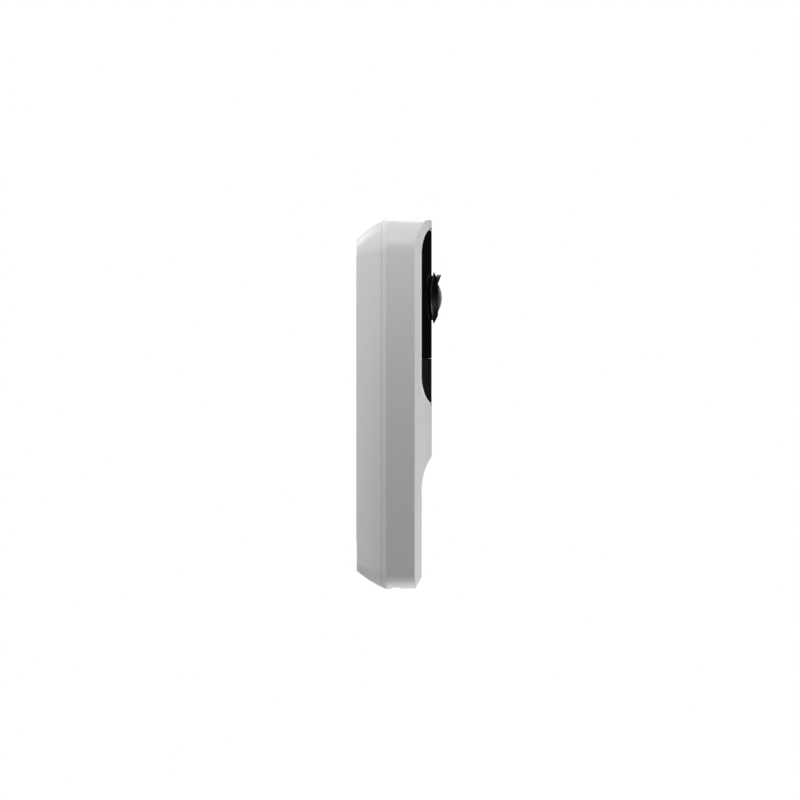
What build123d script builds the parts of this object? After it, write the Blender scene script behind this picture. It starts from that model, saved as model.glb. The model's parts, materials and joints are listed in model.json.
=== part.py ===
from build123d import *
import math
import os

os.makedirs("parts", exist_ok=True)

# Video doorbell. Millimetres, +Z up, the front faces -Y, the wall is the plane Y = 0.
# Origin: centre of the wall bracket's back face. "Depth" is the distance out from the
# wall, so a point at depth d lies at Y = -d. Heights are Z, from -75 to +75.

# ---------------------------------------------------------------- driving dimensions
HALF_HEIGHT = 75.0          # the shell is 150 tall
HALF_WIDTH = 23.6           # at the widest crease
REAR_HALF_WIDTH = 15.7      # at the wall
REAR_TOP, REAR_BOTTOM = 66.5, -67.7
WIDE_DEPTH = 12.0           # depth of the widest crease
REAR_GAP = 0.15             # rear rim stands this far off the wall
SEAM_DEPTH = 10.2           # parting line between the two shells
SEAM_GAP = 0.03             # half of the visible parting gap
DRAFT = 1.7                 # degrees, sides and ends towards the front
FRONT_DEPTH = 30.53         # front-most line of the convex front
FRONT_R = 42.5              # radius of the convex front
AXIS_Y = FRONT_R - FRONT_DEPTH  # its vertical axis, behind the wall
CORNER_TOP, CORNER_BOTTOM = 13.0, 6.0
CREASE_R, FRONT_EDGE_R = 1.0, 0.45

WINDOW_HALF = 18.1          # black window
WINDOW_TOP, WINDOW_BOTTOM = 70.3, 0.3
WINDOW_SEAM = 18.4
WINDOW_CROWN_R, WINDOW_FOOT_R, WINDOW_CORNER = 45.0, 10.0, 9.5
WINDOW_T = 1.35
WINDOW_GAP = 0.10
WINDOW_BEVEL = 0.45

RECESS_DEPTH = 26.43        # flat face of the button recess
RECESS_HALF = 18.4
RECESS_TOP = -21.25
RECESS_CROWN_R, RECESS_SHOULDER_R = 25.0, 13.0
BEVEL_TOP = -70.1           # lower end of the recess face
BEVEL_BACK = 23.7           # depth where the bevel meets the underside

LENS_Z = 43.0
BEZEL_NECK_R, BEZEL_RIM_R, BEZEL_FRONT_R = 9.1, 10.4, 7.3
BEZEL_FRONT_DEPTH = 33.08
DOME_R, DOME_BASE_R, DOME_TIP = 10.7, 5.6, 34.67
BARREL_R = 6.0

BUTTON_Z = -48.0
BUTTON_R = 10.6
BUTTON_FACE = 26.2
BUTTON_TRAVEL = 0.6
RING_R_IN, RING_R_OUT = 11.0, 12.8

POCKET_HALF = 13.6          # pocket in the back that takes the bracket
POCKET_TOP, POCKET_BOTTOM = 64.5, -65.4
POCKET_DEPTH = 6.2
FLOOR_FRONT = 8.0

BRACKET_HALF = 12.6
BRACKET_TOP, BRACKET_BOTTOM = 60.0, -56.0
BRACKET_T = 2.0
HOOK_ROWS = (38.0, -44.0)
LIFT = 6.0
WALL_SCREW_Z = (50.0, -46.0)
WALL_SLOT_W, WALL_SLOT_L = 4.5, 7.0

SCREW_DEPTH = 3.6           # security screw axis
SCREW_R, SCREW_HEAD_R = 1.2, 2.0
HEAD_SEAT = -66.8

CASE_SCREWS = [(-10.5, 61.5), (10.5, 61.5), (-10.5, -62.5), (10.5, -62.5)]


def depth(d):
    """Plane parallel to the wall at depth d: x is X, y is Z, normal outwards."""
    return Plane(origin=(0, -d, 0), x_dir=(1, 0, 0), z_dir=(0, -1, 0))


def level(z):
    """Horizontal plane at height z: x is X, y is Y."""
    return Plane.XY.offset(z)


def shell_outline(half_width, z_low, z_high, r_high, r_low):
    """Upright rounded rectangle with its own top and bottom corner radii."""
    with BuildSketch(mode=Mode.PRIVATE) as s:
        with Locations((0, (z_low + z_high) / 2)):
            Rectangle(2 * half_width, z_high - z_low)
        fillet(s.vertices().group_by(Axis.Y)[-1], r_high)
        fillet(s.vertices().group_by(Axis.Y)[0], r_low)
    return s.sketch


def window_outline(grow=0.0):
    """Black window: round top corners, shallow crown at the bottom."""
    hw = WINDOW_HALF + grow
    top = WINDOW_TOP + grow
    r_top = WINDOW_CORNER + grow
    r_foot = WINDOW_FOOT_R + grow
    crown = WINDOW_CROWN_R + grow
    low = WINDOW_BOTTOM - grow
    cx = hw - r_foot
    cz = low + crown - math.sqrt((crown - r_foot) ** 2 - cx ** 2)
    ux, uz = cx / (crown - r_foot), (cz - (low + crown)) / (crown - r_foot)
    tx, tz = crown * ux, low + crown + crown * uz
    a = math.atan2(uz, ux) / 2
    mx, mz = cx + r_foot * math.cos(a), cz + r_foot * math.sin(a)
    k = r_top * (1 - math.sqrt(0.5))
    with BuildSketch(mode=Mode.PRIVATE) as s:
        with BuildLine():
            ThreePointArc((-tx, tz), (0, low), (tx, tz))
            ThreePointArc((tx, tz), (mx, mz), (hw, cz))
            Line((hw, cz), (hw, top - r_top))
            ThreePointArc((hw, top - r_top), (hw - k, top - k), (hw - r_top, top))
            Line((hw - r_top, top), (-hw + r_top, top))
            ThreePointArc((-hw + r_top, top), (-hw + k, top - k), (-hw, top - r_top))
            Line((-hw, top - r_top), (-hw, cz))
            ThreePointArc((-hw, cz), (-mx, mz), (-tx, tz))
        make_face()
    return s.sketch


def recess_outline():
    """Arch over the button: shallow crown, round shoulders, open at the bottom."""
    hw, rs, rc = RECESS_HALF, RECESS_SHOULDER_R, RECESS_CROWN_R
    cx = hw - rs
    cz = (RECESS_TOP - rc) + math.sqrt((rc - rs) ** 2 - cx ** 2)
    ux, uz = cx / (rc - rs), (cz - (RECESS_TOP - rc)) / (rc - rs)
    tx, tz = rc * ux, RECESS_TOP - rc + rc * uz
    a = math.atan2(uz, ux) / 2
    mx, mz = cx + rs * math.cos(a), cz + rs * math.sin(a)
    with BuildSketch(mode=Mode.PRIVATE) as s:
        with BuildLine():
            Line((-hw, -80), (hw, -80))
            Line((hw, -80), (hw, cz))
            ThreePointArc((hw, cz), (mx, mz), (tx, tz))
            ThreePointArc((tx, tz), (0, RECESS_TOP), (-tx, tz))
            ThreePointArc((-tx, tz), (-mx, mz), (-hw, cz))
            Line((-hw, cz), (-hw, -80))
        make_face()
    return s.sketch


def lies_on_front(edge):
    """True for an edge that runs on the convex front."""
    spots = [edge.position_at(t) for t in (0.1, 0.5, 0.9)]
    return all(abs(math.hypot(p.X, p.Y - AXIS_Y) - FRONT_R) < 0.02 for p in spots)


# ---------------------------------------------------------------- outer form
# Rear taper (slightly convex) and drafted front, cut to the convex front.
with BuildPart() as outer_form:
    with BuildSketch(depth(REAR_GAP)):
        add(shell_outline(REAR_HALF_WIDTH, REAR_BOTTOM, REAR_TOP, 7.5, 3.6))
    with BuildSketch(depth(6.1)):
        add(shell_outline(20.3, -71.95, 71.4, 10.6, 5.1))
    with BuildSketch(depth(WIDE_DEPTH)):
        add(shell_outline(HALF_WIDTH, -HALF_HEIGHT, HALF_HEIGHT, CORNER_TOP, CORNER_BOTTOM))
    loft()
    with BuildSketch(depth(WIDE_DEPTH)):
        add(shell_outline(HALF_WIDTH, -HALF_HEIGHT, HALF_HEIGHT, CORNER_TOP, CORNER_BOTTOM))
    extrude(amount=20.0, taper=DRAFT)
    with Locations((0, AXIS_Y, 0)):
        Cylinder(FRONT_R, 200, mode=Mode.INTERSECT)
    # soft crease where the taper starts, crisp one round the front
    fillet(outer_form.edges().filter_by_position(Axis.Y, -WIDE_DEPTH - 0.02, -WIDE_DEPTH + 0.02), CREASE_R)
    fillet(outer_form.edges().filter_by_position(Axis.Y, -40.0, -20.0).filter_by_position(
        Axis.Z, -100.0, 100.0), FRONT_EDGE_R)

# Room inside the front shell: 2 mm walls, 2.4 mm behind the convex front.
with BuildPart() as front_room:
    with BuildSketch(depth(8.0)):
        add(shell_outline(20.6, -71.5, 71.8, 11.0, 4.5))
    extrude(amount=24.0)
    with Locations((0, AXIS_Y, 0)):
        Cylinder(FRONT_R - 2.4, 200, mode=Mode.INTERSECT)
    with Locations((0, -24.0 - 10.0, -19.0 - 40.0)):
        Box(60, 20, 80, mode=Mode.SUBTRACT)

# Slab between two radii of the convex front, used for everything that follows it.
with BuildPart() as window_pocket:
    with BuildSketch(depth(15.0)):
        add(window_outline())
    extrude(amount=20.0)
    with Locations((0, AXIS_Y, 0)):
        Cylinder(FRONT_R - 1.4, 200, mode=Mode.SUBTRACT)

# ---------------------------------------------------------------- front housing
with BuildPart() as front_housing:
    add(outer_form.part)
    with Locations((0, -(SEAM_DEPTH + SEAM_GAP) / 2, 0)):
        Box(80, SEAM_DEPTH + SEAM_GAP, 200, mode=Mode.SUBTRACT)
    # button recess and the bevel that closes it at the bottom
    with BuildSketch(depth(RECESS_DEPTH)):
        add(recess_outline())
    extrude(amount=12.0, mode=Mode.SUBTRACT)
    slope = (RECESS_DEPTH - BEVEL_BACK) / (BEVEL_TOP + HALF_HEIGHT)
    with BuildSketch(Plane.YZ):
        with BuildLine():
            Polyline((-RECESS_DEPTH, BEVEL_TOP), (-BEVEL_BACK + slope * 1.0, -HALF_HEIGHT - 1.0),
                     (-40, -HALF_HEIGHT - 1.0), (-40, BEVEL_TOP), close=True)
        make_face()
    extrude(amount=40, both=True, mode=Mode.SUBTRACT)
    add(front_room.part, mode=Mode.SUBTRACT)
    add(window_pocket.part, mode=Mode.SUBTRACT)
    # bright bevel round the window and a soft top to the bottom bevel
    chamfer([e for e in front_housing.edges() if lies_on_front(e) and 0.0 < e.center().Z < 71.0
             and abs(e.center().X) < WINDOW_HALF + 0.2], WINDOW_BEVEL)
    fillet([e for e in front_housing.edges().filter_by_position(Axis.Z, BEVEL_TOP - 0.05, BEVEL_TOP + 0.05)
            if e.length > 20.0], 0.8)
    # openings behind the two windows, with a bridge under their seam
    with BuildSketch(depth(20.0)):
        with Locations((0, (21.0 + 58.0) / 2)):
            RectangleRounded(31.0, 37.0, 4.0)
        with Locations((0, (4.5 + 16.0) / 2)):
            RectangleRounded(27.0, 11.5, 3.0)
    extrude(amount=12.0, mode=Mode.SUBTRACT)
    # hole for the light ring and button
    with BuildSketch(depth(20.0)):
        with Locations((0, BUTTON_Z)):
            Circle(RING_R_OUT + 0.05)
    extrude(amount=12.0, mode=Mode.SUBTRACT)
    # microphone hole
    with BuildSketch(depth(20.0)):
        with Locations((0, -28.5)):
            Circle(0.6)
    extrude(amount=12.0, mode=Mode.SUBTRACT)
    # shallow groove across the underside with the speaker slots in it
    with Locations((0, -15.85, -HALF_HEIGHT - 0.4)):
        Box(60, 3.3, 2.0, mode=Mode.SUBTRACT)
    with BuildSketch(level(-76.0)):
        with Locations((0, -15.85)):
            with GridLocations(3.6, 1, 7, 1):
                SlotOverall(2.6, 1.5)
    extrude(amount=6.0, mode=Mode.SUBTRACT)
    # screw bosses, each tied to the end wall by a rib
    with BuildSketch(depth(FLOOR_FRONT + 0.05)):
        with Locations(*CASE_SCREWS):
            Circle(2.6)
    extrude(amount=16.5)
    with BuildSketch(depth(SEAM_DEPTH + 0.3)):
        with Locations((-10.5, 67.5), (10.5, 67.5)):
            Rectangle(1.2, 9.6)
    extrude(amount=14.0)
    with BuildSketch(depth(FLOOR_FRONT)):
        with Locations(*CASE_SCREWS):
            Circle(1.6)
    extrude(amount=4.3, mode=Mode.SUBTRACT)
    with BuildSketch(depth(FLOOR_FRONT)):
        with Locations(*CASE_SCREWS):
            Circle(1.05)
    extrude(amount=8.0, mode=Mode.SUBTRACT)
    # small rails that hold the chassis
    with BuildSketch(depth(16.05)):
        with Locations((-19.8, 30), (19.8, 30), (-19.8, -10), (19.8, -10)):
            Rectangle(2.6, 12.0)
    extrude(amount=6.0)
front_housing.part.label = "front_housing"
export_step(front_housing.part, "parts/front_housing.step")

# ---------------------------------------------------------------- rear housing
with BuildPart() as rear_housing:
    add(outer_form.part)
    with Locations((0, -(SEAM_DEPTH - SEAM_GAP) - 20.0, 0)):
        Box(80, 40, 200, mode=Mode.SUBTRACT)
    # room in front of the floor
    with BuildSketch(depth(FLOOR_FRONT)):
        add(shell_outline(19.3, -70.6, 70.2, 9.8, 3.6))
    extrude(amount=4.0, mode=Mode.SUBTRACT)
    # pocket for the bracket
    with BuildSketch(depth(-1.0)):
        with Locations((0, (POCKET_TOP + POCKET_BOTTOM) / 2)):
            RectangleRounded(2 * POCKET_HALF, POCKET_TOP - POCKET_BOTTOM, 3.0)
    extrude(amount=POCKET_DEPTH + 1.0, mode=Mode.SUBTRACT)
    # ledges that drop behind the hooks, with a rib back to the floor
    for row in HOOK_ROWS:
        for side in (-1, 1):
            with Locations((side * 11.3, -2.85, row + 4.55)):
                Box(5.0, 1.1, 5.3)
            with Locations((side * 11.3, -4.35, row + 7.5)):
                Box(5.0, 4.1, 1.3)
    # groove for the seal in the rim
    with BuildSketch(depth(SEAM_DEPTH - 1.0)):
        add(shell_outline(22.0, -73.5, 73.3, 11.6, 5.0))
        add(shell_outline(21.0, -72.5, 72.3, 10.6, 4.0), mode=Mode.SUBTRACT)
    extrude(amount=2.0, mode=Mode.SUBTRACT)
    # holes for the case screws
    with BuildSketch(depth(0.0)):
        with Locations(*CASE_SCREWS):
            Circle(1.1)
    extrude(amount=12.0, mode=Mode.SUBTRACT)
    # cut-out for the charging port plug and the wire terminals
    with BuildSketch(depth(0.0)):
        with Locations((0, 20.0)):
            SlotOverall(11.0, 5.2)
        with Locations((-4.5, -18.0), (4.5, -18.0)):
            Rectangle(6.6, 8.6)
    extrude(amount=12.0, mode=Mode.SUBTRACT)
    # passage and counterbore for the security screw in the sloping underside
    with BuildSketch(level(-78.0)):
        with Locations((0, -SCREW_DEPTH)):
            Circle(SCREW_HEAD_R + 0.15)
    extrude(amount=78.0 + HEAD_SEAT, mode=Mode.SUBTRACT)
    with BuildSketch(level(-70.0)):
        with Locations((0, -SCREW_DEPTH)):
            Circle(SCREW_R + 0.08)
    extrude(amount=6.0, mode=Mode.SUBTRACT)
rear_housing.part.label = "rear_housing"
export_step(rear_housing.part, "parts/rear_housing.step")

# ---------------------------------------------------------------- housing seal
with BuildPart() as housing_seal:
    with BuildSketch(depth(SEAM_DEPTH - 1.0)):
        add(shell_outline(21.98, -73.48, 73.28, 11.58, 4.98))
        add(shell_outline(21.02, -72.52, 72.32, 10.62, 4.02), mode=Mode.SUBTRACT)
    extrude(amount=1.0 + SEAM_GAP)
housing_seal.part.label = "housing_seal"
export_step(housing_seal.part, "parts/housing_seal.step")

# ---------------------------------------------------------------- wall bracket
with BuildPart() as wall_bracket:
    with BuildSketch(depth(0.0)):
        with Locations((0, (BRACKET_TOP + BRACKET_BOTTOM) / 2)):
            RectangleRounded(2 * BRACKET_HALF, BRACKET_TOP - BRACKET_BOTTOM, 3.0)
        # way through for the bell wires
        with Locations((0, -18.0)):
            RectangleRounded(17.0, 28.0, 3.0, mode=Mode.SUBTRACT)
        # upper lightening window
        with Locations((0, 20.0)):
            RectangleRounded(17.0, 28.0, 3.0, mode=Mode.SUBTRACT)
        # upright slots for the wall screws
        with Locations((0, WALL_SCREW_Z[0]), (0, WALL_SCREW_Z[1])):
            SlotOverall(WALL_SLOT_L, WALL_SLOT_W, rotation=90, mode=Mode.SUBTRACT)
    extrude(amount=BRACKET_T)
    # hooks: a stem out from the plate and a lip turned upwards
    for row in HOOK_ROWS:
        for side in (-1, 1):
            with Locations((side * 10.4, -(1.5 + 5.0) / 2, row + 0.8)):
                Box(4.0, 3.5, 1.6)
            with Locations((side * 10.4, -4.35, row + 4.1)):
                Box(4.0, 1.3, 5.0)
    # lug for the security screw
    with Locations((0, -3.6, BRACKET_BOTTOM + 1.75)):
        Box(10.0, 4.2, 3.5)
    with BuildSketch(level(BRACKET_BOTTOM - 1.0)):
        with Locations((0, -SCREW_DEPTH)):
            Circle(SCREW_R + 0.06)
    extrude(amount=6.0, mode=Mode.SUBTRACT)
    # groove in the back for the foam gasket
    with BuildSketch(depth(0.0)):
        with Locations((0, (BRACKET_TOP + BRACKET_BOTTOM) / 2)):
            RectangleRounded(23.2, 114.0, 2.4)
            RectangleRounded(20.4, 111.2, 1.6, mode=Mode.SUBTRACT)
    extrude(amount=0.8, mode=Mode.SUBTRACT)
wall_bracket.part.label = "wall_bracket"
export_step(wall_bracket.part, "parts/wall_bracket.step")

with BuildPart() as wall_gasket:
    with BuildSketch(depth(0.0)):
        with Locations((0, (BRACKET_TOP + BRACKET_BOTTOM) / 2)):
            RectangleRounded(23.1, 113.9, 2.35)
            RectangleRounded(20.5, 111.3, 1.65, mode=Mode.SUBTRACT)
    extrude(amount=0.8)
wall_gasket.part.label = "wall_gasket"
export_step(wall_gasket.part, "parts/wall_gasket.step")

# ---------------------------------------------------------------- security screw
with BuildPart() as security_screw:
    with BuildSketch(level(HEAD_SEAT - 1.5)):
        with Locations((0, -SCREW_DEPTH)):
            Circle(SCREW_HEAD_R)
    extrude(amount=1.5)
    with BuildSketch(level(HEAD_SEAT)):
        with Locations((0, -SCREW_DEPTH)):
            Circle(SCREW_R)
    extrude(amount=15.3)
    chamfer(security_screw.faces().sort_by(Axis.Z)[-1].edges(), 0.5)
    chamfer(security_screw.faces().sort_by(Axis.Z)[0].edges(), 0.3)
    with BuildSketch(level(HEAD_SEAT - 1.5)):
        with Locations((0, -SCREW_DEPTH)):
            RegularPolygon(0.95, 6)
    extrude(amount=1.1, mode=Mode.SUBTRACT)
security_screw.part.label = "security_screw"
export_step(security_screw.part, "parts/security_screw.step")

# ---------------------------------------------------------------- windows
with BuildPart() as camera_window:
    with BuildSketch(depth(15.0)):
        add(window_outline(-WINDOW_GAP))
    extrude(amount=20.0)
    with Locations((0, AXIS_Y, 0)):
        Cylinder(FRONT_R, 200, mode=Mode.INTERSECT)
        Cylinder(FRONT_R - WINDOW_T, 200, mode=Mode.SUBTRACT)
    with Locations((0, -25.0, WINDOW_SEAM + WINDOW_GAP / 2 - 50.0)):
        Box(60, 30, 100, mode=Mode.SUBTRACT)
    with BuildSketch(depth(15.0)):
        with Locations((0, LENS_Z)):
            Circle(BEZEL_NECK_R + 0.05)
    extrude(amount=20.0, mode=Mode.SUBTRACT)
camera_window.part.label = "camera_window"
export_step(camera_window.part, "parts/camera_window.step")

with BuildPart() as pir_window:
    with BuildSketch(depth(15.0)):
        add(window_outline(-WINDOW_GAP))
    extrude(amount=20.0)
    with Locations((0, AXIS_Y, 0)):
        Cylinder(FRONT_R - 0.03, 200, mode=Mode.INTERSECT)
        Cylinder(FRONT_R - WINDOW_T, 200, mode=Mode.SUBTRACT)
    with Locations((0, -25.0, WINDOW_SEAM - WINDOW_GAP / 2 + 50.0)):
        Box(60, 30, 100, mode=Mode.SUBTRACT)
pir_window.part.label = "pir_window"
export_step(pir_window.part, "parts/pir_window.step")

# ---------------------------------------------------------------- camera bezel with hood
with BuildPart() as camera_bezel:
    # rim that follows the convex front
    with BuildSketch(depth(24.0)):
        with Locations((0, LENS_Z)):
            Circle(BEZEL_RIM_R)
    extrude(amount=10.0)
    with Locations((0, AXIS_Y, 0)):
        Cylinder(FRONT_R + 1.05, 200, mode=Mode.INTERSECT)
        Cylinder(FRONT_R + 0.62, 200, mode=Mode.SUBTRACT)
    # neck through the window
    with BuildSketch(depth(27.0)):
        with Locations((0, LENS_Z)):
            Circle(BEZEL_NECK_R)
    extrude(amount=4.4)
    # cone to the front edge, and the ring the hood is cut from
    with BuildSketch(Plane.YZ):
        with BuildLine():
            Polyline((-30.9, LENS_Z), (-30.9, LENS_Z + BEZEL_RIM_R - 0.1), (-31.4, LENS_Z + BEZEL_RIM_R),
                     (-BEZEL_FRONT_DEPTH, LENS_Z + BEZEL_FRONT_R), (-BEZEL_FRONT_DEPTH, LENS_Z), close=True)
        make_face()
    revolve(axis=Axis((0, 0, LENS_Z), (0, 1, 0)))
with BuildPart() as hood:
    with BuildSketch(Plane.YZ):
        with BuildLine():
            Polyline((-31.6, LENS_Z + 7.3), (-31.6, LENS_Z + 9.85), (-34.2, LENS_Z + 9.35),
                     (-34.3, LENS_Z + 9.1), (-33.1, LENS_Z + 7.3), close=True)
        make_face()
    revolve(axis=Axis((0, 0, LENS_Z), (0, 1, 0)))
    with BuildSketch(Plane.YZ):
        with BuildLine():
            Polyline((-34.36, LENS_Z + 9.5), (-34.36, LENS_Z + 9.0), (-32.2, LENS_Z + 2.6), (-31.5, LENS_Z + 2.6),
                     (-31.5, LENS_Z - 12), (-36, LENS_Z - 12), (-36, LENS_Z + 9.5), close=True)
        make_face()
    extrude(amount=20, both=True, mode=Mode.SUBTRACT)
with BuildPart() as bezel_whole:
    add(camera_bezel.part)
    add(hood.part)
    # bore for the barrel, seat for the dome
    with BuildSketch(depth(20.0)):
        with Locations((0, LENS_Z)):
            Circle(BARREL_R + 0.1)
    extrude(amount=12.3, mode=Mode.SUBTRACT)
    with BuildSketch(depth(32.3)):
        with Locations((0, LENS_Z)):
            Circle(DOME_BASE_R + 0.05)
    extrude(amount=4.0, mode=Mode.SUBTRACT)
bezel_whole.part.label = "camera_bezel"
export_step(bezel_whole.part, "parts/camera_bezel.step")

dome_centre = DOME_TIP - DOME_R
with BuildPart() as lens_dome:
    with BuildSketch(depth(32.3)):
        with Locations((0, LENS_Z)):
            Circle(DOME_BASE_R)
    extrude(amount=3.0)
    with Locations((0, -dome_centre, LENS_Z)):
        Sphere(DOME_R, mode=Mode.INTERSECT)
        Sphere(DOME_R - 1.1, mode=Mode.SUBTRACT)
lens_dome.part.label = "lens_dome"
export_step(lens_dome.part, "parts/lens_dome.step")

# ---------------------------------------------------------------- camera module
with BuildPart() as lens_barrel:
    with BuildSketch(depth(22.4)):
        with Locations((0, LENS_Z)):
            Circle(BARREL_R)
            Circle(3.2, mode=Mode.SUBTRACT)
    extrude(amount=9.4)
    with BuildSketch(depth(27.0)):
        with Locations((0, LENS_Z)):
            Circle(5.0)
    extrude(amount=6.0, mode=Mode.SUBTRACT)
lens_barrel.part.label = "lens_barrel"
export_step(lens_barrel.part, "parts/lens_barrel.step")

with BuildPart() as front_lens_element:
    with BuildSketch(depth(27.2)):
        with Locations((0, LENS_Z)):
            Circle(4.95)
    extrude(amount=5.0)
    with Locations((0, -(32.1 - 6.2), LENS_Z)):
        Sphere(6.2, mode=Mode.INTERSECT)
    with Locations((0, -24.6, LENS_Z)):
        Sphere(4.6, mode=Mode.SUBTRACT)
front_lens_element.part.label = "front_lens_element"
export_step(front_lens_element.part, "parts/front_lens_element.step")

with BuildPart() as rear_lens_element:
    with BuildSketch(depth(23.0)):
        with Locations((0, LENS_Z)):
            Circle(3.15)
    extrude(amount=2.6)
    with Locations((0, -20.9, LENS_Z)):
        Sphere(4.7, mode=Mode.INTERSECT)
rear_lens_element.part.label = "rear_lens_element"
export_step(rear_lens_element.part, "parts/rear_lens_element.step")

with BuildPart() as lens_holder:
    with BuildSketch(depth(20.45)):
        with Locations((0, LENS_Z)):
            RectangleRounded(16.0, 16.0, 1.5)
    extrude(amount=1.8)
    with BuildSketch(depth(20.45)):
        with Locations((0, LENS_Z)):
            Circle(7.6)
    extrude(amount=6.2)
    with BuildSketch(depth(20.45)):
        with Locations((0, LENS_Z)):
            Rectangle(9.0, 9.0)
    extrude(amount=1.6, mode=Mode.SUBTRACT)
    with BuildSketch(depth(22.05)):
        with Locations((0, LENS_Z)):
            Circle(BARREL_R + 0.02)
    extrude(amount=6.0, mode=Mode.SUBTRACT)
    fillet(lens_holder.faces().sort_by(Axis.Y)[0].edges().sort_by(SortBy.LENGTH)[-1:], 0.4)
lens_holder.part.label = "lens_holder"
export_step(lens_holder.part, "parts/lens_holder.step")

with BuildPart() as image_sensor:
    with BuildSketch(depth(20.45)):
        with Locations((0, LENS_Z)):
            Rectangle(8.0, 7.0)
    extrude(amount=0.9)
    chamfer(image_sensor.faces().sort_by(Axis.Y)[0].edges(), 0.2)
image_sensor.part.label = "image_sensor"
export_step(image_sensor.part, "parts/image_sensor.step")

with BuildPart() as camera_board:
    with BuildSketch(depth(19.5)):
        with Locations((0, LENS_Z)):
            RectangleRounded(20.0, 20.0, 1.5)
            with GridLocations(17.0, 17.0, 2, 2):
                Circle(0.9, mode=Mode.SUBTRACT)
    extrude(amount=0.9)
camera_board.part.label = "camera_board"
export_step(camera_board.part, "parts/camera_board.step")

with BuildPart() as camera_flex:
    with BuildSketch(Plane.YZ):
        with BuildLine() as flex_line:
            FilletPolyline((-19.3, 40.0), (-19.3, 29.5), (-17.7, 28.2), (-17.7, 22.0), radius=0.7)
        trace(line_width=0.25)
    extrude(amount=4.0, both=True)
camera_flex.part.label = "camera_flex"
export_step(camera_flex.part, "parts/camera_flex.step")

with BuildPart() as ir_led_board:
    with BuildSketch(depth(24.8)):
        with Locations((0, LENS_Z - 2.0)):
            RectangleRounded(29.0, 33.0, 3.0)
        with Locations((0, LENS_Z)):
            Circle(9.6, mode=Mode.SUBTRACT)
    extrude(amount=0.8)
ir_led_board.part.label = "ir_led_board"
export_step(ir_led_board.part, "parts/ir_led_board.step")

IR_SPOTS = [(-11.0, LENS_Z + 8.5), (11.0, LENS_Z + 8.5), (-11.0, LENS_Z - 8.5), (11.0, LENS_Z - 8.5)]
with BuildPart() as ir_leds:
    with BuildSketch(depth(25.6)):
        with Locations(*IR_SPOTS):
            Rectangle(2.8, 2.8)
    extrude(amount=0.5)
    with BuildSketch(depth(26.1)):
        with Locations(*IR_SPOTS):
            Circle(1.1)
    extrude(amount=0.4, taper=10)
ir_leds.part.label = "ir_leds"
export_step(ir_leds.part, "parts/ir_leds.step")

with BuildPart() as ambient_light_sensor:
    with BuildSketch(depth(25.6)):
        with Locations((0, LENS_Z - 15.5)):
            Rectangle(2.0, 2.2)
    extrude(amount=0.7)
    fillet(ambient_light_sensor.edges().filter_by(Axis.Y), 0.3)
ambient_light_sensor.part.label = "ambient_light_sensor"
export_step(ambient_light_sensor.part, "parts/ambient_light_sensor.step")

with BuildPart() as light_baffle:
    with BuildSketch(depth(25.65)):
        with Locations((0, LENS_Z)):
            Circle(10.6)
            Circle(9.25, mode=Mode.SUBTRACT)
    extrude(amount=3.0)
    with Locations((0, AXIS_Y, 0)):
        Cylinder(FRONT_R - WINDOW_T - 0.05, 200, mode=Mode.INTERSECT)
light_baffle.part.label = "light_baffle"
export_step(light_baffle.part, "parts/light_baffle.step")

# ---------------------------------------------------------------- motion sensor
with BuildPart() as pir_sensor:
    with BuildSketch(depth(17.5)):
        with Locations((0, 9.5)):
            Circle(4.6)
    extrude(amount=0.5)
    with BuildSketch(depth(18.0)):
        with Locations((0, 9.5)):
            Circle(4.15)
    extrude(amount=3.6)
    fillet(pir_sensor.faces().sort_by(Axis.Y)[0].edges(), 0.4)
    with BuildSketch(depth(21.4)):
        with Locations((0, 9.5)):
            Rectangle(4.0, 3.0)
    extrude(amount=1.0, mode=Mode.SUBTRACT)
pir_sensor.part.label = "pir_sensor"
export_step(pir_sensor.part, "parts/pir_sensor.step")

# ---------------------------------------------------------------- chassis and main board
with BuildPart() as inner_chassis:
    with BuildSketch(depth(15.0)):
        with Locations((0, 14.3)):
            RectangleRounded(41.0, 88.6, 4.0)
        with Locations((-11.0, 51.0)):
            Rectangle(7.0, 6.4, mode=Mode.SUBTRACT)
        with Locations((0, -14.0), (0, 20.0)):
            RectangleRounded(14.0, 12.0, 2.0, mode=Mode.SUBTRACT)
    extrude(amount=0.9)
    # walls that box in the battery
    with BuildSketch(depth(9.0)):
        with Locations((-16.4, 11.0), (16.4, 11.0)):
            Rectangle(1.0, 60.0)
        with Locations((0, -22.3)):
            Rectangle(30.0, 1.0)
    extrude(amount=6.0)
    # pegs for the main board
    with BuildSketch(depth(15.9)):
        with Locations((-13.0, 56.0), (13.0, 56.0), (-13.0, -24.0), (13.0, -24.0)):
            Circle(1.8)
    extrude(amount=0.5)
    with BuildSketch(depth(15.0)):
        with Locations((-13.0, 56.0), (13.0, 56.0), (-13.0, -24.0), (13.0, -24.0)):
            Circle(0.75)
    extrude(amount=2.0, mode=Mode.SUBTRACT)
inner_chassis.part.label = "inner_chassis"
export_step(inner_chassis.part, "parts/inner_chassis.step")

with BuildPart() as main_board:
    with BuildSketch(depth(16.4)):
        with Locations((0, 15.75)):
            RectangleRounded(31.0, 85.5, 2.0)
        with Locations((-13.0, 56.0), (13.0, 56.0), (-13.0, -24.0), (13.0, -24.0)):
            Circle(0.8, mode=Mode.SUBTRACT)
    extrude(amount=1.0)
    # row of small parts along one edge
    with BuildSketch(depth(17.4)):
        with Locations((12.0, 5.0)):
            with GridLocations(1, 3.2, 1, 7):
                Rectangle(1.6, 0.9)
        with Locations((-11.5, 8.0)):
            Rectangle(4.0, 4.0)
    extrude(amount=0.8)
main_board.part.label = "main_board"
export_step(main_board.part, "parts/main_board.step")

with BuildPart() as main_processor:
    with BuildSketch(depth(17.4)):
        with Locations((-3.0, -6.0)):
            RectangleRounded(10.0, 10.0, 0.4)
    extrude(amount=1.1)
    chamfer(main_processor.faces().sort_by(Axis.Y)[0].edges(), 0.15)
main_processor.part.label = "main_processor"
export_step(main_processor.part, "parts/main_processor.step")

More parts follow.
